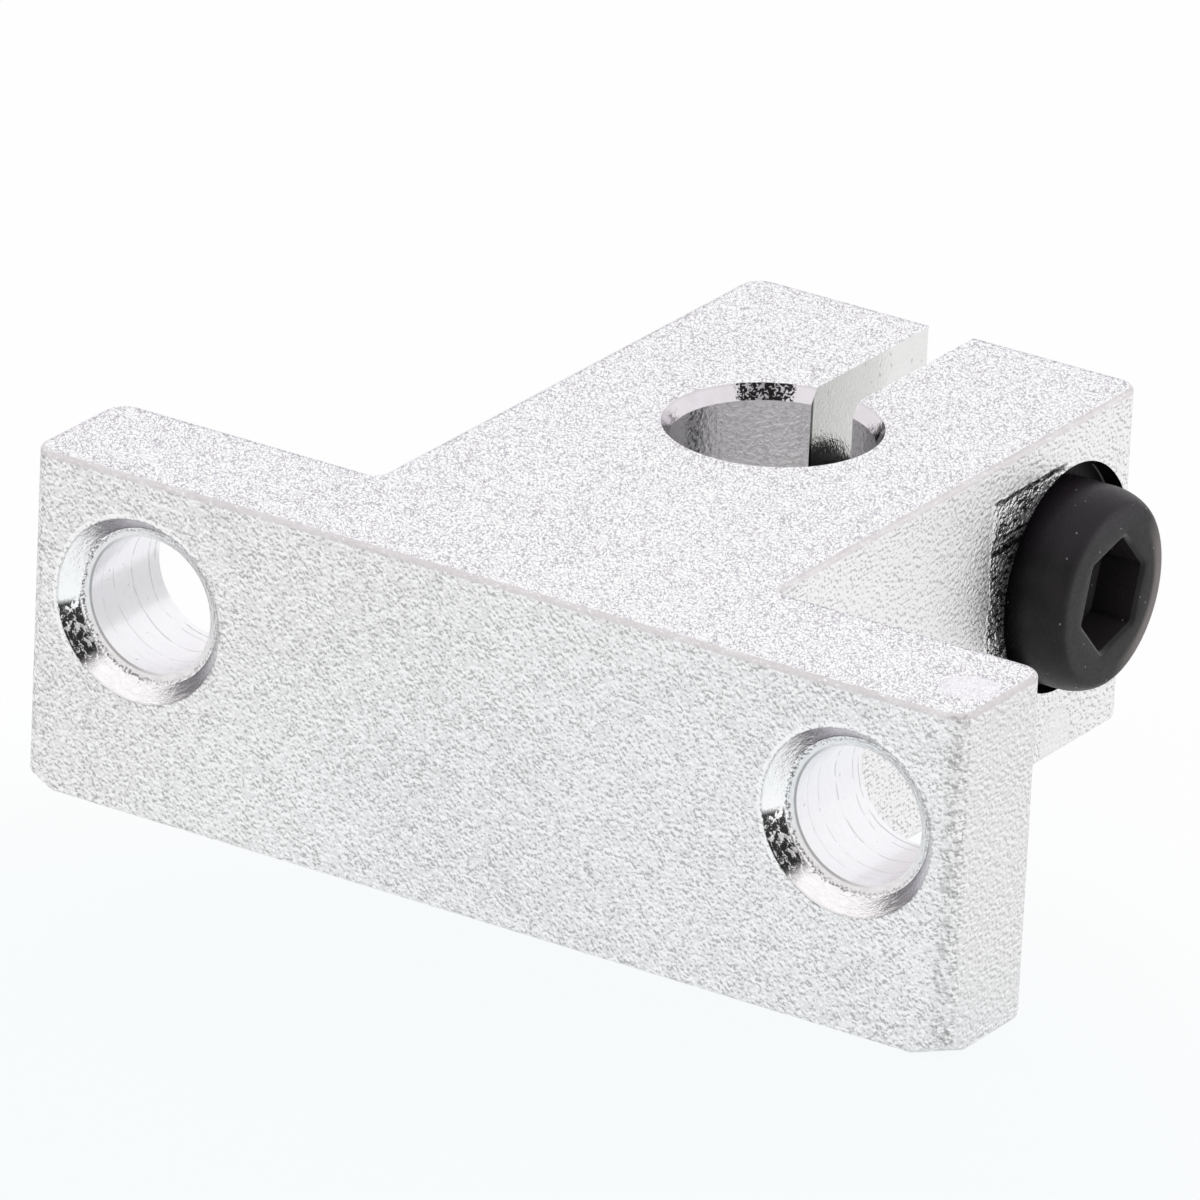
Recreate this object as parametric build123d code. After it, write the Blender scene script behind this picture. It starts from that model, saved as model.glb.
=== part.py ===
from build123d import *
import math
import os

os.makedirs("parts", exist_ok=True)

# A clamping shaft support: a one-piece block with a mounting plate and a split stem, and
# the socket-head screw that pulls the two ears of the stem together on the shaft.
# Millimetres. The origin is on the bore's axis, halfway through the block. X runs along
# the mounting plate, Y from the mounting face to the clamped end, Z along the shaft.
# The block lies on one flat side, as it would on a bench, with the bore upright.

# Outline of the block
block_thickness = 14.0
plate_width = 42.0
plate_depth = 6.0
stem_width = 18.0
bore_height = 20.0
overall_height = 32.8
corner_radius = 1.0
root_radius = 0.5
edge_round = 0.2
# The mounting face's two lower corners are knocked off to these lengths
knock_along = 1.7
knock_up = 0.85

# Shaft bore and slit
bore_diameter = 8.0
bore_chamfer_width = 0.35
bore_chamfer_depth = 0.6
slit_width = 2.0
slit_shift = 0.3
slit_mouth_radius = 0.35

# Mounting holes, near the plate's ends. They sit a little to the screw's side of the bore
# and above the middle of the block's thickness
hole_to_end = 5.0
hole_shift = 0.2
hole_offset = 1.5
hole_diameter = 5.5
countersink_diameter = 7.5
countersink_floor_diameter = 6.3
countersink_depth = 0.75
countersink_floor_depth = 0.9
back_chamfer = 0.55

# Clamp screw's place, measured from the clamped end and from the middle of the thickness
screw_to_end = 5.05
screw_offset = 0.28

# Holes for the clamp screw: recess and clearance hole in one ear, thread in the other. The
# recess is cut a little above the screw's axis
recess_diameter = 9.35
recess_shift = 0.18
recess_depth = 0.85
clearance_hole_diameter = 5.8
thread_diameter = 5.0
thread_clearance = 0.05
thread_chamfer = 0.5

# Clamp screw
screw_length = 16.0
screw_tip_chamfer = 0.8
head_diameter = 8.2
head_height = 3.0
head_crown_depth = 1.2
head_crown_width = 0.4
socket_across_flats = 4.0
socket_depth = 1.9
socket_mouth_across_flats = 4.3
socket_mouth_depth = 0.15
socket_turn = 14.0
drill_point_slope = 31.0

# Cutting tools run this far past the faces that they open
overrun = 1.0
# A corner is taken as found within this distance of where it should be
found_within = 0.1

mounting_face = -bore_height
clamped_end = overall_height - bore_height
half_thickness = block_thickness / 2
half_stem = stem_width / 2
hole_reach = plate_width / 2 - hole_to_end
screw_axis = Plane(
    origin=(0, clamped_end - screw_to_end, screw_offset),
    x_dir=(1, 0, 0),
    z_dir=(0, 0, 1),
)


def turned(plane, *outline):
    """Solid turned about the plane's x axis. Outline: edges in (along the axis, radius)."""
    face = plane * make_face(Curve() + list(outline))
    return revolve(face, Axis(plane.origin, plane.x_dir))


def rounded(sketch, corners, radius):
    """The sketch with a radius at each of its corners that lies on one of the points."""
    found = [
        v for v in sketch.vertices()
        if any((v.center() - Vector(*c)).length < found_within for c in corners)
    ]
    return fillet(found, radius)


def block_outline():
    """Plate and stem seen along the shaft, with rounded corners and roots."""
    plate_back = mounting_face + plate_depth
    plate = Pos(0, mounting_face) * Rectangle(
        plate_width, plate_depth, align=(Align.CENTER, Align.MIN)
    )
    stem = Pos(0, mounting_face) * Rectangle(
        stem_width, overall_height, align=(Align.CENTER, Align.MIN)
    )
    sketch = plate + stem
    sides = (-1, 1)
    corners = [
        (side * plate_width / 2, y) for side in sides for y in (mounting_face, plate_back)
    ]
    corners += [(side * half_stem, clamped_end) for side in sides]
    sketch = rounded(sketch, corners, corner_radius)
    return rounded(sketch, [(side * half_stem, plate_back) for side in sides], root_radius)


def knock_cutter(side):
    """What is missing at one lower corner of the mounting face, on the side -1 or 1."""
    middle = Vector(
        side * (plate_width - knock_along) / 2, mounting_face + knock_along / 2, -half_thickness
    )
    outward = Vector(side / knock_along, -1 / knock_along, -1 / knock_up)
    reach = 2 * (knock_along + overrun)
    return extrude(Plane(origin=middle, z_dir=outward) * Rectangle(reach, reach), reach)


def raw_block():
    """The cast block before machining, with its outer rims rounded."""
    body = extrude(block_outline(), half_thickness, both=True)
    flat_sides = body.faces().filter_by(Axis.Z)
    return fillet(flat_sides.edges(), edge_round) - [knock_cutter(side) for side in (-1, 1)]


def bore_cutter():
    """Shaft bore with a chamfer at both mouths."""
    radius = bore_diameter / 2
    mouth = radius + bore_chamfer_width
    wall_end = half_thickness - bore_chamfer_depth
    beyond = half_thickness + overrun
    return turned(
        Plane.ZX,
        Polyline(
            (-beyond, 0), (-beyond, mouth), (-half_thickness, mouth), (-wall_end, radius),
            (wall_end, radius), (half_thickness, mouth), (beyond, mouth), (beyond, 0),
            close=True,
        ),
    )


def slit_cutter():
    """Slit from the bore to the clamped end, with rounded lips at its mouth."""
    lip = slit_mouth_radius
    mouth_width = slit_width + 2 * lip
    height = block_thickness + 2 * overrun
    slit = Rectangle(slit_width, clamped_end + overrun, align=(Align.CENTER, Align.MIN))
    mouth = Pos(0, clamped_end - lip) * Rectangle(
        mouth_width, lip + overrun, align=(Align.CENTER, Align.MIN)
    )
    ears = Sketch() + [
        Pos(side * mouth_width / 2, clamped_end - lip) * Circle(lip) for side in (-1, 1)
    ]
    return Pos(slit_shift, 0) * extrude(slit + (mouth - ears), height / 2, both=True)


def mounting_hole_cutter():
    """Through hole with a countersink at the mounting face and a chamfer behind."""
    radius = hole_diameter / 2
    mouth = countersink_diameter / 2
    floor = countersink_floor_diameter / 2
    return turned(
        Plane.YX,
        Polyline(
            (-overrun, 0), (-overrun, mouth), (0, mouth), (countersink_depth, floor),
            (countersink_floor_depth, radius), (plate_depth - back_chamfer, radius),
            (plate_depth, radius + back_chamfer), (plate_depth + overrun, radius + back_chamfer),
            (plate_depth + overrun, 0),
            close=True,
        ),
    )


def recess_cutter():
    """Recess for the clamp screw's head, in the side of the stem."""
    recess = recess_diameter / 2
    floor = half_stem - recess_depth
    beyond = half_stem + overrun
    return Pos(0, 0, recess_shift) * turned(
        screw_axis,
        Polyline((beyond, 0), (beyond, recess), (floor, recess), (floor, 0), close=True),
    )


def screw_hole_cutter():
    """Clearance hole and tapped hole on the clamp screw's axis."""
    clearance = clearance_hole_diameter / 2
    thread = thread_diameter / 2
    far_side = -half_stem
    return turned(
        screw_axis,
        Polyline(
            (half_stem, 0), (half_stem, clearance), (0, clearance), (0, thread),
            (far_side + thread_chamfer, thread), (far_side, thread + thread_chamfer),
            (far_side - overrun, thread + thread_chamfer), (far_side - overrun, 0),
            close=True,
        ),
    )


def block():
    """The one-piece block: casting less the bore, the slit and the screw holes."""
    hole = mounting_hole_cutter()
    holes = [
        Pos(hole_shift + side * hole_reach, mounting_face, hole_offset) * hole
        for side in (-1, 1)
    ]
    shaft_holes = [bore_cutter(), slit_cutter()]
    screw_holes = [recess_cutter(), screw_hole_cutter()]
    return raw_block() - shaft_holes - holes - screw_holes


def socket_cutter(front):
    """Hexagon socket with a drilled bottom and a mouth that widens to the front."""
    apothem = socket_across_flats / 2
    mouth_apothem = socket_mouth_across_flats / 2
    face_of_head = Plane(
        origin=screw_axis.origin + screw_axis.x_dir * front, x_dir=(0, 1, 0), z_dir=(1, 0, 0)
    )
    hexagon = RegularPolygon(apothem, 6, major_radius=False, rotation=socket_turn)
    mouth_hexagon = RegularPolygon(mouth_apothem, 6, major_radius=False, rotation=socket_turn)
    prism = extrude(face_of_head * hexagon, -socket_depth)
    mouth = loft(
        [face_of_head * mouth_hexagon, face_of_head * Pos(0, 0, -socket_mouth_depth) * hexagon]
    )
    drill_point = apothem * math.tan(math.radians(drill_point_slope))
    bottom = turned(
        screw_axis,
        Polyline(
            (front - socket_depth, 0), (front - socket_depth, apothem),
            (front - socket_depth - drill_point, 0),
            close=True,
        ),
    )
    return prism + mouth + bottom


def clamp_screw():
    """Socket-head screw, its head seated on the recess floor and its tip in the far ear."""
    seat = half_stem - recess_depth
    front = seat + head_height
    tip = seat - screw_length
    shank = thread_diameter / 2 - thread_clearance
    head = head_diameter / 2
    crown_start = front - head_crown_depth
    crown_end = head - head_crown_width
    body = turned(
        screw_axis,
        Polyline(
            (front, crown_end), (front, 0), (tip, 0), (tip, shank - screw_tip_chamfer),
            (tip + screw_tip_chamfer, shank), (seat, shank), (seat, head), (crown_start, head),
        ),
        TangentArc((crown_start, head), (front, crown_end), tangent=(1, 0)),
    )
    return body - socket_cutter(front)


def save(node, shape):
    """Write one node's solid under its name."""
    shape.label = node
    export_step(shape, f"parts/{node}.step")


save("block", block())
save("clamp_screw", clamp_screw())
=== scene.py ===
import math

import bpy
from mathutils import Matrix, Vector


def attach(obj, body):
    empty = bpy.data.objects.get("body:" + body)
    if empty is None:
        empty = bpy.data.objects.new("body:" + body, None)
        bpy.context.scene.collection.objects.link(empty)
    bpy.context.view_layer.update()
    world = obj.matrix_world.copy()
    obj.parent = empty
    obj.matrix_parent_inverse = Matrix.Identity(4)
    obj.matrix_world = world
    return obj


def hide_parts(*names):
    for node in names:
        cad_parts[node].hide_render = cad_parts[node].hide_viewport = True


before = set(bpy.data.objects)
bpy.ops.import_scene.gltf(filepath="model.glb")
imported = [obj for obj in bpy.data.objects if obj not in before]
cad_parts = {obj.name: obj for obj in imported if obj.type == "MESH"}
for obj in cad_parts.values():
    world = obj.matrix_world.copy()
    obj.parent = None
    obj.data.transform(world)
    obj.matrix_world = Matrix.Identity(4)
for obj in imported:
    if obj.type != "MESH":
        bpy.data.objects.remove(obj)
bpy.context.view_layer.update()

# A clamping shaft support lies on one flat side. Lengths are in millimetres here and are
# turned into metres where Blender needs them. The frame's origin is on the bore's axis,
# halfway through the block.
MM = 0.001

# What the looks need to know of the block's shape
HALF_THICKNESS = 7.0
MOUNTING_FACE = -20.0
PLATE_BACK = -14.0
HALF_STEM = 9.0
HALF_PLATE = 21.0
CLAMPED_END = 12.8
EDGE_ROUND = 0.2
BORE_MOUTH = 4.35
SLIT_MIDDLE = 0.3
SLIT_REACH = 1.36
SLIT_START = 3.5
HOLE_REACH = 16.0
HOLE_SHIFT = 0.2
HOLE_Z = 1.5
HOLE_WALL = 2.75
HOLE_STEP = 3.15
HOLE_MOUTH = 3.75
RECESS_Z = 0.46
RECESS_RADIUS = 4.675
RECESS_DEPTH = 0.85
# A face counts as part of a surface when it lies within this distance of it
NEAR = 0.02

# Clamp screw
SCREW_Y = 7.75
SCREW_Z = 0.28
HEAD_FRONT = 11.15
HEAD_SEAT = 8.15
HEAD_RADIUS = 4.1
SCREW_TIP = -7.85
TIP_CHAMFER = 0.8
SOCKET_ACROSS = 4.0
SOCKET_DEPTH = 1.9
SOCKET_TURN = 14.0
# How far a blunt corner of the socket lies out, as a share of half its width
SOCKET_BLUNT = 1.135
# Drilled bottom of the socket: how far its deepest point lies below the walls, and a ring of
# its cone as depth and radius
DRILLED_DEPTH = 1.2
DRILLED_RING = (0.9, 0.5)
# The head's rounded rims, each point as how far behind the front and how far out: the lip of
# the socket beyond its walls, and the crown inside the head's radius
SOCKET_LIP = ((0.15, 0.0), (0.06, 0.08), (0.015, 0.14), (0.0, 0.2))
CROWN = (
    (0.003, 0.56), (0.02, 0.48), (0.06, 0.40), (0.13, 0.325), (0.25, 0.245), (0.42, 0.16),
    (0.62, 0.088), (0.85, 0.032), (1.05, 0.006), (1.2, 0.0),
)
# Rings on the flat face between them
FACE_RINGS = (2.75, 3.3)
# The head's rim at its seat, each point as how far before the seat and how far in
SEAT_RIM = ((0.12, 0.0), (0.03, 0.03), (0.0, 0.12))
# Thread: the shares of half a turn that are crest and flank, how far below the head it ends
# and over what length it runs out, and the step along the screw
THREAD_PITCH = 0.8
THREAD_CREST = 2.45
THREAD_DEPTH = 0.43
CREST_SHARE = 0.22
FLANK_SHARE = 0.64
THREAD_END = 1.4
RUN_OUT = 0.8
THREAD_STEP = 0.07
# Gap between the thread's crest and the ring where the head's underside starts
SHANK_GAP = 0.1
TIP_RING = 0.8
# Points round the screw, and the angle in degrees above which an edge is sharp
ROUND = 120
SHARP_ABOVE = 38.0

# Marks on the block
# Rings that show on the wall of each hole: depth, and how light they look
HOLE_RINGS = ((5.15, 0.72), (4.75, 0.8), (3.6, 0.72), (2.4, 0.85), (1.6, 0.9))
# Torn band down the bore's wall, and the way to the arc of its chamfer with a painted dark
# reflection
BAND_Y = 0.6
DARK_ARC_WAY = (-0.602, 0.799, 0.0)
# Where a tool dragged along the stem's side beside the recess: its start along Y, the heights
# over which it fades in from below, and its upper end
DRAG_START = 1.85
DRAG_FOOT = (-4.5, -2.0)
DRAG_TOP = 5.45
# The scratches that it left: height, half width, how far along Y, and how light they look
DRAG_LINES = (
    (5.36, 0.09, 6.9, 0.12),
    (5.08, 0.09, 6.0, 1.6),
    (3.98, 0.05, 4.8, 1.6),
    (3.82, 0.05, 4.8, 0.15),
    (3.66, 0.04, 4.8, 1.6),
    (3.3, 0.13, 4.4, 0.08),
    (3.06, 0.04, 4.2, 1.6),
    (2.35, 0.05, 4.4, 1.5),
    (1.1, 0.04, 4.0, 1.5),
    (-0.4, 0.05, 4.2, 1.5),
    (-1.7, 0.04, 3.8, 1.5),
)
# How far a scratch wanders up with a slow noise, and how far down it is set for that
DRAG_WANDER = 0.25
DRAG_LOWERED = 0.12
# Smooth discs that the ejector pins of the mould left
DISC_RADIUS = 1.1
DISCS = ((19.6, -17.3, 7.0), (9.0, 7.6, -6.2))
# Flecks along the plate's upright corners, from where they begin to where they are full, as
# the distance from the middle along X less the place along Y
CORNER_FLECKS = (40.2, 40.33)
# Lines of painted shade along the flat sides' far edges, as how far inside the outline, half width
# and fade: those that run along X, and those that run along Y on the left
BACK_LINE = (0.24, 0.05, 0.05)
LEFT_LINE = (0.23, 0.02, 0.03)

# The casting's skin: grains a millimetre, how they are drawn out, and the step towards the
# light over which their slope is taken
GRAIN = 6.5
GRAIN_STRETCH = (1.0, 0.7, 1.0)
SWEEP = (0.707, 0.0, -0.707)
SWEPT = 0.06
LIT_SIDE = (0.012, 0.036, 0.062)
# How light a grain looks from its slope: level skin, what the slope adds to it, what the
# slope's cube adds to it, and the darkest that it goes
LEVEL_LIGHT = 1.02
SLOPE_LIGHT = 0.15
SLOPE_CUBED_LIGHT = 141.0
DEEPEST = 0.62
# How much of the grain's contrast is left on the rims, and on the end of the plate
RIM_CONTRAST = 0.15
END_CONTRAST = 0.72
# Fine lines of painted shade on the flat sides: lines a millimetre, drawn out this far along this
# way
WORMS = 6.6
WORM_WAY = (-0.518, 0.855, 0.0)
WORM_DRAWN = 0.5
WORM_LEVEL = 1.18
# How far the lower rims look like the upper ones
LOWER_RIM = 0.2

# Keeps of a place what lies across the screw's axis
ACROSS_SCREW = (0.0, 1.0, 1.0)
# The way, seen along the screw, to where its crown takes the lightest tint
CROWN_TINT_WAY = (0.0, 0.94, -0.34)

# Where the photograph was taken from, fitted to the block's edges
CAMERA_PLACE = (278.33, -459.40, 224.11)
CAMERA_TURN = (1.8921356895735981, 0.5902979467598819, -0.33163489900009163)
FOCAL_PIXELS = 15002.58
FRAME_PIXELS = 1200
SENSOR = 36.0


class Nodes:
    """A node tree, emptied at first. Each call adds one node."""

    def __init__(self, tree):
        self.tree = tree
        tree.nodes.clear()

    def put(self, socket, value):
        """Sets a socket to a number, a colour or another node's output."""
        if isinstance(value, bpy.types.NodeSocket):
            self.tree.links.new(value, socket)
        else:
            socket.default_value = value

    def node(self, kind, *values, **settings):
        """A node, with its sockets filled in their order. None leaves one as it is."""
        made = self.tree.nodes.new(kind)
        for key, value in settings.items():
            setattr(made, key, value)
        for socket, value in zip(made.inputs, values):
            if value is not None:
                self.put(socket, value)
        return made


class Shader(Nodes):
    """A material's nodes. Most calls hand back what the node that they add puts out."""

    def __init__(self, name):
        self.material = bpy.data.materials.new(name)
        self.material.use_nodes = True
        super().__init__(self.material.node_tree)
        self.out = self.node("ShaderNodeOutputMaterial")
        self.bsdf = self.node("ShaderNodeBsdfPrincipled")
        self.put(self.out.inputs["Surface"], self.bsdf.outputs[0])
        place = self.node("ShaderNodeTexCoord").outputs["Object"]
        self.place = self.vector("SCALE", place, scale=1 / MM)
        self.x, self.y, self.z = self.node("ShaderNodeSeparateXYZ", self.place).outputs

    def math(self, operation, *values):
        return self.node("ShaderNodeMath", *values, operation=operation).outputs[0]

    def vector(self, operation, *values, scale=None):
        made = self.node("ShaderNodeVectorMath", *values, operation=operation)
        if scale is not None:
            made.inputs["Scale"].default_value = scale
        return made.outputs[1 if operation in ("DISTANCE", "DOT_PRODUCT") else 0]

    def noise(self, scale, detail=2.0, rough=0.5, distort=0.0, at=None):
        made = self.node("ShaderNodeTexNoise")
        self.put(made.inputs["Vector"], at or self.place)
        for name, value in (
            ("Scale", scale), ("Detail", detail), ("Roughness", rough), ("Distortion", distort)
        ):
            self.put(made.inputs[name], value)
        return made.outputs[0]

    def cells(self, scale):
        """Distance to the nearest of many scattered points."""
        made = self.node("ShaderNodeTexVoronoi", feature="F1")
        for name, value in (("Vector", self.place), ("Scale", scale), ("Randomness", 1.0)):
            self.put(made.inputs[name], value)
        return made.outputs["Distance"]

    def ramp(self, value, low, high, to_low=0.0, to_high=1.0, smooth=True):
        """Maps value from low..high to to_low..to_high, held at both ends."""
        made = self.node("ShaderNodeMapRange", value, low, high, to_low, to_high)
        made.interpolation_type = "SMOOTHSTEP" if smooth else "LINEAR"
        made.clamp = True
        return made.outputs[0]

    def product(self, *values):
        total = values[0]
        for value in values[1:]:
            total = self.math("MULTIPLY", total, value)
        return total

    def hypotenuse(self, first, second):
        squares = [self.math("POWER", value, 2.0) for value in (first, second)]
        return self.math("SQRT", self.math("ADD", *squares))

    def band(self, value, middle, half, soft):
        """1 where value is within half of middle, fading to 0 over soft."""
        apart = self.math("ABSOLUTE", self.math("SUBTRACT", value, middle))
        return self.ramp(apart, half, half + soft, 1.0, 0.0)

    def spot(self, centre, radius, soft):
        """1 within radius of a point, fading to 0 over soft."""
        apart = self.vector("DISTANCE", self.place, centre)
        return self.ramp(apart, radius, radius + soft, 1.0, 0.0)

    def shade(self, light, share, factor):
        """The light, times factor where share is 1."""
        return self.math("MULTIPLY", light, self.ramp(share, 0.0, 1.0, 1.0, factor, smooth=False))

    def blend(self, share, first, second):
        """Colour that goes from first to second as share goes from 0 to 1."""
        made = self.node("ShaderNodeMix", data_type="RGBA")
        self.put(made.inputs["Factor"], share)
        colours = [s for s in made.inputs if s.type == "RGBA"]
        self.put(colours[0], first)
        self.put(colours[1], second)
        return [s for s in made.outputs if s.type == "RGBA"][0]

    def bump(self, height, depth):
        """Normals of a relief: height 0..1 stands for depth in millimetres."""
        made = self.node("ShaderNodeBump")
        made.inputs["Strength"].default_value = 1.0
        made.inputs["Distance"].default_value = depth * MM
        self.put(made.inputs["Height"], height)
        return made.outputs[0]

    def finish(self, **values):
        for name, value in values.items():
            self.put(self.bsdf.inputs[name.replace("_", " ")], value)
        return self.material


def rgb(red, green, blue):
    return (red, green, blue, 1.0)


# What the camera and mirroring metal see of the backdrop, and its pale blue near the block
BACKDROP = rgb(1.0, 1.0, 1.0)
PALE_BLUE = rgb(0.957, 0.99, 1.0)
# The casting: upright sides, flat sides painted lighter for the light from above, and darker rims
ALLOY = rgb(0.835, 0.825, 0.825)
LIT_FLAT_ALLOY = rgb(0.94, 0.915, 0.965)
RIM_ALLOY = rgb(0.72, 0.685, 0.70)


def at_rim(s):
    """1 on the rounded rims between the flat sides and the walls round them, else 0."""
    height = s.math("ABSOLUTE", s.z)
    start = HALF_THICKNESS - 1.3 * EDGE_ROUND
    inside = s.ramp(height, start, HALF_THICKNESS - 0.95 * EDGE_ROUND)
    below = s.ramp(height, HALF_THICKNESS - 0.005, HALF_THICKNESS - 0.001, 1.0, 0.0)
    return s.product(inside, s.ramp(s.z, -1.0, 1.0, LOWER_RIM, 1.0), below)


def slow_noise(s):
    """Where the grain is crowded: 0 to 1, over stretches of about a millimetre."""
    return s.ramp(s.noise(1.3, 2.0, 0.6), 0.35, 0.65)


def lit_grain(s):
    """A grain and how light it looks: above 1 on the side of each bump that faces the light."""
    drawn = s.vector("MULTIPLY", s.place, GRAIN_STRETCH)
    along = s.vector("DOT_PRODUCT", drawn, SWEEP)
    swept = s.vector("MULTIPLY", along, tuple(SWEPT * v for v in SWEEP))
    at = s.vector("SUBTRACT", drawn, swept)
    grain = s.noise(GRAIN, 1.0, 0.6, 0.2, at)
    beside = s.noise(GRAIN, 1.0, 0.6, 0.2, s.vector("ADD", at, LIT_SIDE))
    crowd = s.ramp(slow_noise(s), 0.0, 1.0, 0.75, 1.1, smooth=False)
    slope = s.math("MULTIPLY", s.math("SUBTRACT", grain, beside), crowd)
    squared = s.math("MULTIPLY", slope, slope)
    steep = s.math("MULTIPLY_ADD", squared, SLOPE_CUBED_LIGHT, SLOPE_LIGHT)
    light = s.math("MULTIPLY_ADD", slope, steep, LEVEL_LIGHT)
    return grain, s.math("MAXIMUM", light, DEEPEST)


def flat_lines(s):
    """How light the flat sides look: pale crumbs with fine lines of painted shade between them."""
    along = s.vector("DOT_PRODUCT", s.place, WORM_WAY)
    drawn = s.vector("MULTIPLY", along, tuple(WORM_DRAWN * v for v in WORM_WAY))
    worms = s.noise(WORMS, 1.0, 0.5, 0.3, s.vector("SUBTRACT", s.place, drawn))
    off_line = s.ramp(s.math("ABSOLUTE", s.math("SUBTRACT", worms, 0.5)), 0.0, 0.095)
    deep = s.ramp(slow_noise(s), 0.0, 1.0, 0.58, 0.5, smooth=False)
    return s.math("MULTIPLY_ADD", off_line, s.math("SUBTRACT", WORM_LEVEL, deep), deep)


def mould_discs(s):
    """1 on the discs that the ejector pins left, and 1 on the ring round each."""
    discs = s.math("MAXIMUM", *[s.spot(centre, DISC_RADIUS, 0.12) for centre in DISCS])
    rings = s.math("MAXIMUM", *[
        s.band(s.vector("DISTANCE", s.place, centre), DISC_RADIUS + 0.08, 0.03, 0.08)
        for centre in DISCS
    ])
    return discs, rings


def far_edge_shade(s, flat):
    """1 along the flat sides' edges that look away from the mounting face, where shade is painted,
    else 0.
    """
    def line(value, outline, towards, inside, half, soft):
        return s.band(value, outline + towards * inside, half, soft)

    beside = s.ramp(s.math("ABSOLUTE", s.x), HALF_STEM + 0.3, HALF_STEM + 0.5)
    stem = s.ramp(s.y, PLATE_BACK + 0.3, PLATE_BACK + 0.5)
    plate = s.ramp(s.y, PLATE_BACK - 0.4, PLATE_BACK - 0.3, 1.0, 0.0)
    of_plate = s.math(
        "MAXIMUM",
        s.product(beside, line(s.y, PLATE_BACK, -1, *BACK_LINE)),
        s.product(plate, line(s.x, -HALF_PLATE, 1, *LEFT_LINE)),
    )
    of_stem = s.math(
        "MAXIMUM",
        line(s.y, CLAMPED_END, -1, *BACK_LINE),
        s.product(stem, line(s.x, -HALF_STEM, 1, *LEFT_LINE)),
    )
    return s.product(flat, s.math("MAXIMUM", of_plate, of_stem))


def stem_side(s):
    """1 on the stem's side that the screw's head looks out of, else 0."""
    at_side = s.ramp(s.x, HALF_STEM - 0.1, HALF_STEM - 0.03)
    return s.product(at_side, s.ramp(s.x, HALF_STEM + 0.2, HALF_STEM + 0.1))


def drag_marks(s, light, side):
    """The light with what a tool that dragged along the stem's side did to it, with painted light,
    and where.
    """
    ragged = s.math("MULTIPLY_ADD", s.noise(1.6), 0.7, s.y)
    past = s.ramp(ragged, DRAG_START + 0.2, DRAG_START + 0.5)
    below = s.ramp(s.z, DRAG_TOP - 0.05, DRAG_TOP + 0.1, 1.0, 0.0)
    above = s.ramp(s.z, *DRAG_FOOT)
    before = s.ramp(s.y, SCREW_Y - 1.0, SCREW_Y + 0.5, 1.0, 0.0)
    patch = s.product(side, past, below, above, before)
    speck = s.noise(4.4, 2.0, 0.6, 0.3, s.vector("MULTIPLY", s.place, (1.0, 0.5, 1.3)))
    crowd = s.product(
        s.ramp(s.z, 1.5, 4.8, 0.475, 0.445), s.ramp(s.y, DRAG_START, DRAG_START + 0.9, 0.75, 1.0)
    )
    # Dark specks in the patch: a painted reflection of the black head in the smoother metal
    dark_specks = s.ramp(s.math("SUBTRACT", speck, crowd), -0.03, 0.03, 1.0, 0.0)
    light = s.shade(light, patch, 1.25)
    light = s.shade(light, s.product(patch, dark_specks), 0.1)
    level = s.math("SUBTRACT", s.z, DRAG_LOWERED)
    tilt = s.math("MULTIPLY_ADD", s.noise(1.3), DRAG_WANDER, level)
    for height, half, until, factor in DRAG_LINES:
        run = s.ramp(s.y, until, until + 0.5, 1.0, 0.0)
        scratch = s.product(side, past, run, s.band(tilt, height, half, 0.05))
        light = s.shade(light, scratch, factor)
    burr = s.product(side, below, above, s.band(s.y, DRAG_START - 0.1, 0.04, 0.1))
    light = s.shade(light, burr, 1.25)
    # Painted light: the side lighter away from the plate, which shades it near the corner
    bright = s.product(side, s.ramp(s.y, PLATE_BACK, PLATE_BACK + 2.0))
    return s.shade(light, bright, 1.12), patch


def hole_outline(s, light):
    """The light, raised above and left of each countersink and lowered on a line round it."""
    across, up, apart, depth = hole_place(s)
    front = s.ramp(depth, 0.1, 0.2, 1.0, 0.0)
    upper_left = s.ramp(s.math("SUBTRACT", up, across), -1.0, 1.5)
    beside = s.product(front, upper_left, s.band(apart, HOLE_MOUTH + 0.1, 0.06, 0.06))
    light = s.shade(light, beside, 1.3)
    return s.shade(light, s.product(front, s.band(apart, HOLE_MOUTH, 0.015, 0.05)), 0.7)


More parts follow.
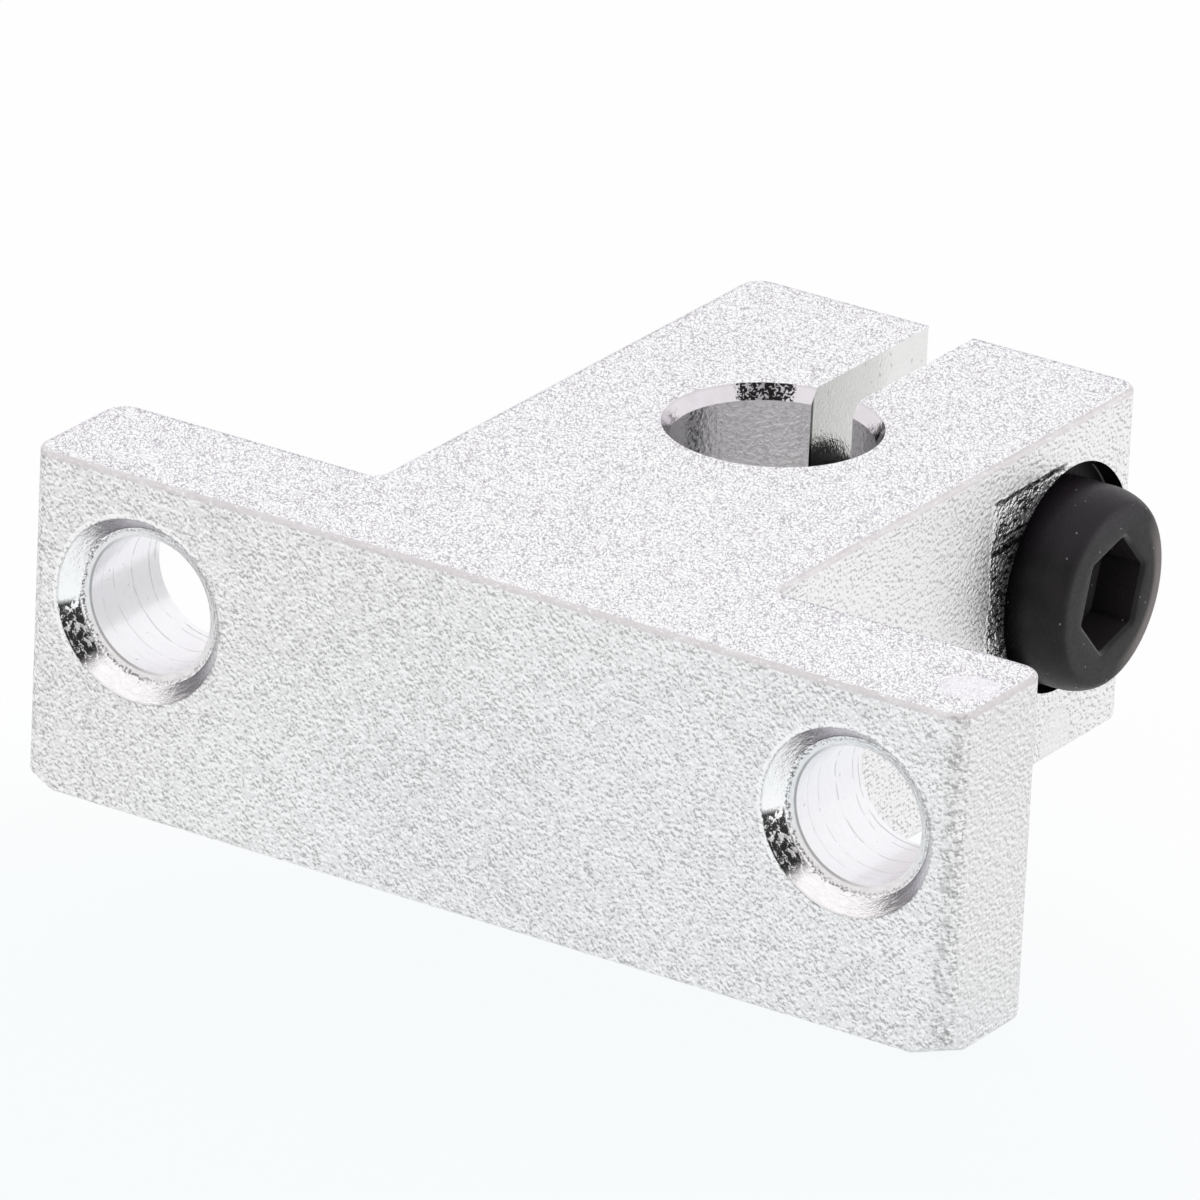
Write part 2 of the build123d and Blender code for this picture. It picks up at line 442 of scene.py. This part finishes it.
def cast_metal():
    """Blasted casting: a dull silver skin of fine crumb-like grains."""
    s = Shader("blasted_alloy")
    grain, light = lit_grain(s)
    flat = s.ramp(s.math("ABSOLUTE", s.z), HALF_THICKNESS - 0.02, HALF_THICKNESS - 0.005)
    change = s.math("SUBTRACT", flat_lines(s), light)
    light = s.math("ADD", light, s.math("MULTIPLY", flat, change))
    rim = at_rim(s)
    discs, rings = mould_discs(s)
    calm = s.math("MAXIMUM", rim, s.math("MULTIPLY", discs, 0.7))
    contrast = s.product(
        s.ramp(calm, 0.0, 1.0, 1.0, RIM_CONTRAST),
        s.ramp(s.x, HALF_PLATE - 0.1, HALF_PLATE - 0.03, 1.0, END_CONTRAST),
    )
    light = s.math("ADD", s.math("MULTIPLY", s.math("SUBTRACT", light, 1.0), contrast), 1.0)
    light = s.shade(light, rings, 0.93)
    # Painted shade along the far edges of the flat sides
    light = s.shade(light, far_edge_shade(s, flat), 0.78)
    cloud = s.ramp(s.noise(0.12, 3.0, 0.6), 0.25, 0.75, 0.97, 1.02)
    stain = s.ramp(s.noise(0.35, 2.0, 0.5), 0.62, 0.72, 1.0, 0.965)
    light = s.product(light, cloud, stain)
    out = s.math("SUBTRACT", s.math("ABSOLUTE", s.x), s.y)
    flecks = s.product(s.ramp(out, *CORNER_FLECKS), s.ramp(s.noise(3.4, 2.0, 0.6), 0.47, 0.56))
    light = s.shade(light, flecks, 0.76)
    side = stem_side(s)
    light, dragged = drag_marks(s, light, side)
    light = hole_outline(s, light)
    rim_tint = s.product(rim, s.ramp(s.noise(0.9), 0.3, 0.6, 0.6, 1.0))
    # The flat sides painted lighter, as lit from above, and the rims a darker tint
    colour = s.blend(rim_tint, s.blend(flat, ALLOY, LIT_FLAT_ALLOY), RIM_ALLOY)
    calm_side = s.product(side, s.ramp(dragged, 0.0, 1.0, 1.0, 0.0))
    relief = s.product(grain, s.ramp(calm_side, 0.0, 1.0, 1.0, 0.6))
    rough = s.ramp(grain, 0.3, 0.7, 0.3, 0.42)
    return s.finish(
        Base_Color=s.vector("MULTIPLY", colour, light),
        Metallic=1.0,
        Roughness=s.math("MULTIPLY_ADD", dragged, -0.1, rough),
        Normal=s.bump(relief, 0.05),
    )


def recess_metal():
    """Spot face under the screw's head: painted black for its shade and the black head's
    reflection, with a highlight painted along its corner.
    """
    s = Shader("spot_faced_recess")
    rings = s.noise(4.0, 3.0, 0.6)
    across = s.vector("MULTIPLY", s.place, ACROSS_SCREW)
    apart = s.vector("DISTANCE", across, (0.0, SCREW_Y, RECESS_Z))
    corner = s.product(
        s.band(s.x, HALF_STEM - RECESS_DEPTH, 0.02, 0.04), s.band(apart, RECESS_RADIUS, 0.03, 0.05)
    )
    corner_highlight = s.product(corner, s.ramp(s.noise(0.9), 0.35, 0.5))
    return s.finish(
        # Painted near-black for the shade and the black head's reflection, lighter where the
        # corner's highlight is painted
        Base_Color=s.blend(corner_highlight, rgb(0.010, 0.009, 0.010), rgb(0.45, 0.43, 0.40)),
        Roughness=s.ramp(rings, 0.3, 0.7, 0.4, 0.55),
        Specular_IOR_Level=0.15,
        Normal=s.bump(rings, 0.01),
    )


def thread_metal():
    """Tapped hole in the far ear: plain metal flanks, with painted shade in the roots."""
    s = Shader("tapped_hole")
    across, up = s.math("SUBTRACT", s.y, SCREW_Y), s.math("SUBTRACT", s.z, SCREW_Z)
    turn = s.math("DIVIDE", s.math("ARCTAN2", up, across), math.tau)
    turns = s.math("SUBTRACT", s.math("DIVIDE", s.x, THREAD_PITCH), turn)
    height = s.math("PINGPONG", turns, 0.5)
    # Painted shade: darker towards the roots of the thread
    light = s.ramp(height, 0.05, 0.4, 0.3, 1.0)
    light = s.product(light, s.ramp(s.noise(3.0), 0.3, 0.7, 0.8, 1.0))
    return s.finish(
        Base_Color=s.vector("MULTIPLY", (0.72, 0.70, 0.70), light),
        Metallic=1.0,
        Roughness=0.3,
        Normal=s.bump(height, 0.3),
    )


def hole_place(s):
    """Across, up, way from its axis and depth for a point of either mounting hole."""
    middle = s.math("MULTIPLY_ADD", s.math("SIGN", s.x), HOLE_REACH, HOLE_SHIFT)
    across = s.math("SUBTRACT", s.x, middle)
    up = s.math("SUBTRACT", s.z, HOLE_Z)
    return across, up, s.hypotenuse(across, up), s.math("SUBTRACT", s.y, MOUNTING_FACE)


def round_place(s, across, up, apart, along, round_rate, along_rate):
    """Where to read a noise that is drawn out round an axis."""
    made = s.node("ShaderNodeCombineXYZ")
    for socket, value in zip(made.inputs, (across, up)):
        s.put(socket, s.math("MULTIPLY", s.math("DIVIDE", value, apart), round_rate))
    s.put(made.inputs[2], s.math("MULTIPLY", along, along_rate))
    return made.outputs[0]


def countersink_metal():
    """Turned cone and step: rings left by the tool, torn where the cone meets the step with the
    painted shade there deepest on the left, painted shade along its edges, and a painted dark
    reflection at the lower left."""
    s = Shader("turned_countersink")
    across, up, apart = hole_place(s)[:3]
    rings = s.noise(1.0, 3.0, 0.65, 0.3, round_place(s, across, up, apart, apart, 9.0, 9.0))
    patchy = s.noise(1.0, 3.0, 0.7, 0.5, round_place(s, across, up, apart, apart, 12.0, 9.0))
    fine = s.noise(9.0, 3.0, 0.6)
    ragged = s.math("MULTIPLY_ADD", s.noise(4.0, 2.0, 0.6), 0.3, apart)
    left = s.math("MULTIPLY_ADD", up, -0.35, s.math("MULTIPLY", across, -1.0))
    turned_left = s.ramp(s.math("DIVIDE", left, apart), -0.1, 0.8)
    # Torn where the cone meets the step, the painted shade there deepest on the left
    dark_specks = s.product(
        s.band(ragged, HOLE_STEP + 0.08, 0.05, 0.06),
        s.ramp(fine, 0.42, 0.56, 1.0, 0.0),
        s.ramp(turned_left, 0.0, 1.0, 0.5, 1.0),
    )
    rise = s.math("DIVIDE", up, apart)
    # A painted dark reflection at the lower left, broken by pale patches
    painted_dark_reflection = s.product(
        s.ramp(across, -1.4, -1.7),
        s.ramp(rise, -0.1, -0.2),
        s.ramp(rise, -0.84, -0.7),
        s.ramp(apart, HOLE_STEP, HOLE_STEP + 0.06),
        s.ramp(patchy, 0.58, 0.5),
    )
    light = s.ramp(rings, 0.3, 0.7, 0.96, 1.08)
    light = s.shade(light, dark_specks, 0.25)
    # Painted shade along the inner edge, on the left
    inner = s.product(s.band(apart, HOLE_WALL + 0.05, 0.02, 0.06), turned_left)
    light = s.shade(light, inner, 0.5)
    # Painted shade along the mouth's edge, and the step a little darker
    light = s.shade(light, s.band(apart, HOLE_MOUTH, 0.02, 0.05), 0.8)
    light = s.shade(light, s.ramp(apart, HOLE_STEP - 0.08, HOLE_STEP, 1.0, 0.0), 0.8)
    light = s.shade(light, painted_dark_reflection, 0.05)
    low = s.ramp(up, -2.6, -0.6, 1.0, 0.0)
    colour = s.blend(low, rgb(0.99, 0.99, 1.0), rgb(0.96, 0.93, 0.94))
    return s.finish(
        Base_Color=s.vector("MULTIPLY", colour, light),
        Metallic=1.0,
        Roughness=s.ramp(up, -1.5, 1.5, 0.05, 0.1),
        Normal=s.bump(s.math("MULTIPLY_ADD", fine, 0.5, rings), 0.022),
    )


def hole_metal():
    """Drilled wall: bright and smooth, with a few rings cut a little deeper, and painted shade
    towards the right.
    """
    s = Shader("drilled_hole")
    across, up, apart, depth = hole_place(s)
    streaks = s.noise(1.0, 3.0, 0.6, 0.2, round_place(s, across, up, apart, depth, 5.0, 5.0))
    wander = s.math("MULTIPLY_ADD", s.noise(0.5), 0.5, s.math("SUBTRACT", depth, 0.25))
    light = s.ramp(streaks, 0.3, 0.7, 0.97, 1.0)
    broken = s.ramp(s.noise(1.4, 2.0), 0.4, 0.55)
    for height, factor in HOLE_RINGS:
        light = s.shade(light, s.product(s.band(wander, height, 0.015, 0.05), broken), factor)
    speck = s.ramp(s.noise(3.2, 1.0, 0.5), 0.72, 0.78)
    light = s.shade(light, speck, 0.8)
    # Painted shade: the wall darker and more lilac towards the right
    right = s.ramp(across, -1.5, 1.5)
    colour = s.blend(right, rgb(0.955, 0.955, 0.985), rgb(0.90, 0.86, 0.90))
    return s.finish(
        Base_Color=s.vector("MULTIPLY", colour, light),
        Metallic=1.0,
        Roughness=0.24,
        Normal=s.bump(streaks, 0.008),
    )


def bore_metal():
    """Reamed wall: fine rings, small bright specks and one torn band down the wall."""
    s = Shader("reamed_bore")
    apart = s.hypotenuse(s.x, s.y)
    rings = s.noise(1.0, 3.0, 0.6, 0.3, round_place(s, s.x, s.y, apart, s.z, 14.0, 7.0))
    fine = s.noise(5.0, 2.0, 0.6)
    dark_specks = s.ramp(s.noise(6.0, 2.0, 0.6), 0.5, 0.56)
    band = s.product(s.ramp(s.x, 0.0, -1.0), s.band(s.y, BAND_Y, 0.25, 0.4), dark_specks)
    light = s.ramp(rings, 0.3, 0.7, 0.985, 1.0)
    light = s.product(light, s.ramp(fine, 0.38, 0.5, 0.88, 1.0))
    light = s.shade(light, band, 0.3)
    return s.finish(
        Base_Color=s.vector("MULTIPLY", (1.0, 0.99, 0.995), light),
        Metallic=0.78,
        Roughness=0.22,
        Normal=s.bump(fine, 0.045),
    )


def bore_mouth_metal():
    """Chamfer of the bore: pale and even, with a painted dark reflection broken up over a short
    arc.
    """
    s = Shader("bore_chamfer")
    apart = s.hypotenuse(s.x, s.y)
    along = s.math("DIVIDE", s.vector("DOT_PRODUCT", s.place, DARK_ARC_WAY), apart)
    arc = s.ramp(s.math("MULTIPLY_ADD", s.noise(3.0), 0.03, along), 0.972, 0.982)
    worms = s.noise(6.5, 1.0, 0.5, 0.8)
    dark_specks = s.ramp(worms, 0.51, 0.58, 1.0, 0.0)
    light = s.ramp(s.noise(1.5), 0.3, 0.7, 0.96, 1.03)
    # A painted dark reflection over the arc, broken into worms
    light = s.shade(light, s.product(arc, dark_specks), 0.04)
    # Painted shade along the chamfer's outer edge
    light = s.shade(light, s.band(apart, BORE_MOUTH, 0.02, 0.05), 0.9)
    return s.finish(
        Base_Color=s.vector("MULTIPLY", (0.765, 0.73, 0.765), light),
        Metallic=1.0,
        Roughness=0.06,
        Normal=s.bump(worms, 0.008),
    )


def slit_metal():
    """Sawn slit: smooth and pale, with a few pits, and painted shade where it meets the bore."""
    s = Shader("milled_slit")
    lines = s.noise(2.5, 3.0, 0.6, 0.1, s.vector("MULTIPLY", s.place, (1.0, 1.0, 3.0)))
    fine = s.noise(8.0, 2.0, 0.6)
    pits = s.ramp(s.noise(2.6, 1.0, 0.5), 0.70, 0.75)
    corner = s.product(s.band(s.y, SLIT_START + 0.5, 0.06, 0.08), s.ramp(s.x, 0.0, -0.5))
    light = s.ramp(lines, 0.3, 0.7, 0.97, 1.02)
    light = s.shade(light, pits, 0.75)
    # Painted shade in the corner where the slit meets the bore
    light = s.shade(light, corner, 0.15)
    return s.finish(
        Base_Color=s.vector("MULTIPLY", (0.82, 0.822, 0.812), light),
        Metallic=1.0,
        Roughness=0.04,
        Normal=s.bump(fine, 0.012),
    )


def black_steel():
    """Satin black oxide, browner in the socket, lighter along the crown towards one side, painted
    lighter at the top, and with a highlight painted on the socket's mouth.
    """
    s = Shader("black_oxide")
    fine = s.noise(9.0, 3.0, 0.6)
    cloud = s.ramp(s.noise(0.9, 3.0, 0.6), 0.3, 0.7)
    centre = (0.0, SCREW_Y, SCREW_Z)
    apart = s.vector("DISTANCE", s.vector("MULTIPLY", s.place, ACROSS_SCREW), centre)
    out = s.vector("DOT_PRODUCT", s.vector("SUBTRACT", s.place, centre), CROWN_TINT_WAY)
    # Painted light: the head lighter towards its top
    upper = s.ramp(s.z, 2.0, 4.2)
    rim_tint = s.product(
        s.ramp(s.x, HEAD_FRONT - 1.1, HEAD_FRONT - 0.5),
        s.ramp(apart, 2.9, 3.3),
        s.ramp(out, 1.2, 3.2),
        s.ramp(fine, 0.2, 0.5, 0.6, 1.0),
    )
    socket = s.product(
        s.ramp(apart, 2.2, 2.3, 1.0, 0.0), s.ramp(s.x, HEAD_FRONT - 0.1, HEAD_FRONT - 0.2)
    )
    # Painted highlight on the socket's mouth, on the side away from the crown's lighter tint
    lip = s.product(
        s.ramp(s.x, HEAD_FRONT - 0.14, HEAD_FRONT - 0.08),
        s.ramp(s.x, HEAD_FRONT - 0.012, HEAD_FRONT - 0.004, 1.0, 0.0),
        s.ramp(apart, 2.6, 2.7, 1.0, 0.0),
        s.ramp(out, -0.4, 0.8, 1.0, 0.0),
    )
    dust = s.ramp(s.cells(1.7), 0.05, 0.085, 1.0, 0.0)
    colour = s.blend(cloud, rgb(0.013, 0.012, 0.0125), rgb(0.021, 0.0185, 0.0195))
    for share, tint in (
        (upper, rgb(0.028, 0.022, 0.027)),
        (rim_tint, rgb(0.27, 0.24, 0.225)),
        (socket, rgb(0.036, 0.032, 0.031)),
        (lip, rgb(0.13, 0.125, 0.13)),
        (dust, rgb(0.3, 0.29, 0.28)),
    ):
        colour = s.blend(share, colour, tint)
    return s.finish(
        Base_Color=colour,
        Roughness=s.ramp(fine, 0.3, 0.7, 0.36, 0.5),
        Specular_IOR_Level=0.22,
        Normal=s.bump(fine, 0.008),
    )


def soft_hexagon(angle, apothem):
    """Distance from a hexagon's middle to its edge at an angle, its corners a little blunt."""
    turn = math.radians(60)
    off = (angle - math.radians(SOCKET_TURN) + turn / 2) % turn - turn / 2
    return min(apothem / math.cos(turn / 2 - abs(off)), SOCKET_BLUNT * apothem)


def thread_radius(x, angle):
    """Radius of the thread, which runs out below the head and is chamfered at the tip."""
    turns = (x / THREAD_PITCH - angle / math.tau) % 1.0
    flank = min(max((abs(turns - 0.5) * 2 - CREST_SHARE) / FLANK_SHARE, 0.0), 1.0)
    radius = THREAD_CREST - THREAD_DEPTH * flank
    run_out = min(max((x - (HEAD_SEAT - THREAD_END)) / RUN_OUT, 0.0), 1.0)
    radius += (THREAD_CREST - radius) * run_out
    return min(radius, THREAD_CREST - TIP_CHAMFER + (x - SCREW_TIP))


def screw_rings():
    """The screw's skin from the bottom of its socket round the head to its tip, as pairs of
    a place along X and a radius, which is a number or depends on the angle."""
    def hexagon(apothem):
        return lambda angle: soft_hexagon(angle, apothem)

    floor = HEAD_FRONT - SOCKET_DEPTH
    half = SOCKET_ACROSS / 2
    rings = [(floor - DRILLED_RING[0], DRILLED_RING[1])]
    rings += [(floor, hexagon(half)), (floor + 0.02, hexagon(half))]
    rings += [(HEAD_FRONT - below, hexagon(half + out)) for below, out in SOCKET_LIP]
    rings += [(HEAD_FRONT, radius) for radius in FACE_RINGS]
    rings += [(HEAD_FRONT - below, HEAD_RADIUS - inside) for below, inside in CROWN]
    rings += [(HEAD_SEAT + before, HEAD_RADIUS - inside) for before, inside in SEAT_RIM]
    rings.append((HEAD_SEAT, THREAD_CREST + SHANK_GAP))
    count = math.ceil((HEAD_SEAT - SCREW_TIP) / THREAD_STEP)
    for step in range(count + 1):
        x = HEAD_SEAT + (SCREW_TIP - HEAD_SEAT) * step / count
        rings.append((x, lambda angle, x=x: thread_radius(x, angle)))
    rings.append((SCREW_TIP, TIP_RING))
    return rings


def make_screw():
    """Socket-head screw with its real thread, in the place of the plain one."""
    rings = screw_rings()
    points, faces = [], []
    for x, radius in rings:
        for step in range(ROUND):
            angle = math.radians(SOCKET_TURN) + math.tau * step / ROUND
            reach = radius(angle) if callable(radius) else radius
            y = SCREW_Y + reach * math.cos(angle)
            z = SCREW_Z + reach * math.sin(angle)
            points.append((x * MM, y * MM, z * MM))
    last = len(rings) - 1
    for ring in range(last):
        for step in range(ROUND):
            here, there = ring * ROUND + step, ring * ROUND + (step + 1) % ROUND
            faces.append((here, there, there + ROUND, here + ROUND))
    for x, ring in ((HEAD_FRONT - SOCKET_DEPTH - DRILLED_DEPTH, 0), (SCREW_TIP, last)):
        middle = len(points)
        points.append((MM * x, MM * SCREW_Y, MM * SCREW_Z))
        for step in range(ROUND):
            here, there = ring * ROUND + step, ring * ROUND + (step + 1) % ROUND
            faces.append((middle, there, here) if ring == 0 else (middle, here, there))
    mesh = bpy.data.meshes.new("threaded_screw")
    mesh.from_pydata(points, [], faces)
    mesh.validate()
    mesh.shade_smooth()
    mesh.set_sharp_from_angle(angle=math.radians(SHARP_ABOVE))
    mesh.materials.append(black_steel())
    screw = bpy.data.objects.new("threaded_screw", mesh)
    bpy.context.scene.collection.objects.link(screw)
    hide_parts("clamp_screw")
    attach(screw, "clamp_screw")


def zone_of(centre, normal):
    """Which machined surface of the block a face belongs to, or the casting's skin."""
    x, y, z = centre / MM
    if abs(x - SLIT_MIDDLE) < SLIT_REACH and y > SLIT_START and abs(normal.z) < 0.5:
        if abs(normal.x) > 0.9 or y > BORE_MOUTH + 1:
            return "slit"
    if math.hypot(x, y) < BORE_MOUTH + NEAR:
        return "bore" if abs(normal.z) < 0.1 else "bore_mouth"
    for side in (-1, 1):
        across = x - HOLE_SHIFT - side * HOLE_REACH
        if math.hypot(across, z - HOLE_Z) < HOLE_MOUTH + NEAR and y < PLATE_BACK + NEAR:
            if abs(normal.y) < 0.2:
                return "hole"
            if abs(normal.y) < 0.98:
                return "countersink"
    if math.hypot(y - SCREW_Y, z - RECESS_Z) < RECESS_RADIUS + NEAR and abs(x) < HALF_STEM - NEAR:
        # The rounded rims near the recess look away from its axis, and its own faces don't
        if normal.y * (y - SCREW_Y) + normal.z * (z - RECESS_Z) < NEAR:
            return "thread" if x < 0 else "recess"
    return "cast"


def dress_block(block):
    materials = {
        "cast": cast_metal(),
        "slit": slit_metal(),
        "bore": bore_metal(),
        "bore_mouth": bore_mouth_metal(),
        "hole": hole_metal(),
        "countersink": countersink_metal(),
        "recess": recess_metal(),
        "thread": thread_metal(),
    }
    block.data.materials.clear()
    order = list(materials)
    for material in materials.values():
        block.data.materials.append(material)
    for face in block.data.polygons:
        face.material_index = order.index(zone_of(face.center, face.normal))


def place_camera():
    angle = Vector(CAMERA_TURN)
    turn = Matrix.Rotation(angle.length, 3, angle.normalized())
    right, down, forward = turn[0], turn[1], turn[2]
    data = bpy.data.cameras.new("camera")
    data.sensor_width = SENSOR
    data.lens = FOCAL_PIXELS * SENSOR / FRAME_PIXELS
    camera = bpy.data.objects.new("camera", data)
    axes = Matrix((right, -down, -forward)).transposed()
    camera.matrix_world = Matrix.Translation(Vector(CAMERA_PLACE) * MM) @ axes.to_4x4()
    bpy.context.scene.collection.objects.link(camera)
    bpy.context.scene.camera = camera


# The tent that lights the block, and its brighter and darker parts: azimuth, height, radius
# of the even middle and of the faded rim in degrees, and the strength that it goes to
TENT_LEVEL = 0.72
TENT_TINT = rgb(0.955, 0.943, 1.0)
OPENING = (-45, 24, 18, 32, 0.04)
TENT_PARTS = (
    (125, 18, 12, 48, 1.2),
    (195, 15, 10, 35, 1.45),
    (15, 25, 8, 28, 1.1),
    OPENING,
)
# What strength the opening has for metal that mirrors it
OPENING_MIRRORED = 0.5


def way_to(azimuth, height):
    """Direction at these degrees: azimuth 0 is +X and 90 is +Y, and height is above the floor."""
    turn, lift = math.radians(azimuth), math.radians(height)
    return (
        math.cos(lift) * math.cos(turn), math.cos(lift) * math.sin(turn), math.sin(lift)
    )


def light_up():
    """A bright tent all round, with the darker opening that the camera looks through. The
    camera and mirroring metal see a white backdrop in its place."""
    world = bpy.data.worlds.new("tent")
    bpy.context.scene.world = world
    world.use_nodes = True
    nodes = Nodes(world.node_tree)
    way = nodes.node("ShaderNodeTexCoord").outputs["Generated"]

    def changed(level, azimuth, height, inner, outer, strength):
        """The level of the light, with one brighter or darker part put in."""
        along = nodes.node(
            "ShaderNodeVectorMath", way, way_to(azimuth, height), operation="DOT_PRODUCT"
        )
        share = nodes.node(
            "ShaderNodeMapRange", along.outputs["Value"],
            math.cos(math.radians(outer)), math.cos(math.radians(inner)), 0.0, 1.0,
            interpolation_type="SMOOTHSTEP",
        )
        return nodes.node("ShaderNodeMix", share.outputs[0], None, level, strength).outputs[0]

    level = TENT_LEVEL
    for part in TENT_PARTS:
        level = changed(level, *part)
    lit = nodes.node("ShaderNodeBackground", TENT_TINT, level)
    mirrored = changed(1.0, *OPENING[:4], OPENING_MIRRORED)
    ray = nodes.node("ShaderNodeLightPath").outputs
    white = nodes.node("ShaderNodeMix", ray["Is Camera Ray"], None, mirrored, 1.0)
    seen = nodes.node("ShaderNodeBackground", BACKDROP, white.outputs[0])
    share = ray["Is Camera Ray"]
    for kind in ("Is Glossy Ray", "Is Transmission Ray"):
        share = nodes.node("ShaderNodeMath", share, ray[kind], operation="MAXIMUM").outputs[0]
    mix = nodes.node("ShaderNodeMixShader", share, lit.outputs[0], seen.outputs[0])
    nodes.node("ShaderNodeOutputWorld", mix.outputs[0])


# The floor reaches this far in metres from the middle
FLOOR_REACH = 1.5
# Where the floor looks palest blue, before the block, and over what distances that fades
FLOOR_PALE = (10.0, -40.0, -HALF_THICKNESS)
FLOOR_PALE_RADIUS = 15.0
FLOOR_PALE_FADE = 35.0
# How far the camera sees the floor as backdrop, away from the pale spot and in it, and how
# far mirroring metal does, the rest being the floor as it is lit
FLOOR_SEEN = (0.97, 0.92)
FLOOR_MIRRORED = 0.9


def lay_floor():
    mesh = bpy.data.meshes.new("floor")
    level = -HALF_THICKNESS * MM
    around = ((-1, -1), (1, -1), (1, 1), (-1, 1))
    corners = [(x * FLOOR_REACH, y * FLOOR_REACH, level) for x, y in around]
    mesh.from_pydata(corners, [], [(0, 1, 2, 3)])
    floor = bpy.data.objects.new("floor", mesh)
    bpy.context.scene.collection.objects.link(floor)
    s = Shader("floor_white")
    s.finish(Base_Color=rgb(0.95, 0.96, 0.955), Roughness=1.0, Specular_IOR_Level=0.0)
    near = s.spot(FLOOR_PALE, FLOOR_PALE_RADIUS, FLOOR_PALE_FADE)
    glow = s.node("ShaderNodeEmission", s.blend(near, BACKDROP, PALE_BLUE))
    ray = s.node("ShaderNodeLightPath").outputs
    mirrored = s.math("MAXIMUM", ray["Is Glossy Ray"], ray["Is Transmission Ray"])
    seen = s.math("MULTIPLY", ray["Is Camera Ray"], s.ramp(near, 0.0, 1.0, *FLOOR_SEEN))
    share = s.math("MULTIPLY_ADD", mirrored, FLOOR_MIRRORED, seen)
    mix = s.node("ShaderNodeMixShader", share, s.bsdf.outputs[0], glow.outputs[0])
    s.put(s.out.inputs["Surface"], mix.outputs[0])
    floor.data.materials.append(s.material)


place_camera()
light_up()
lay_floor()
dress_block(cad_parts["block"])
make_screw()
bpy.context.scene.view_settings.view_transform = "Standard"
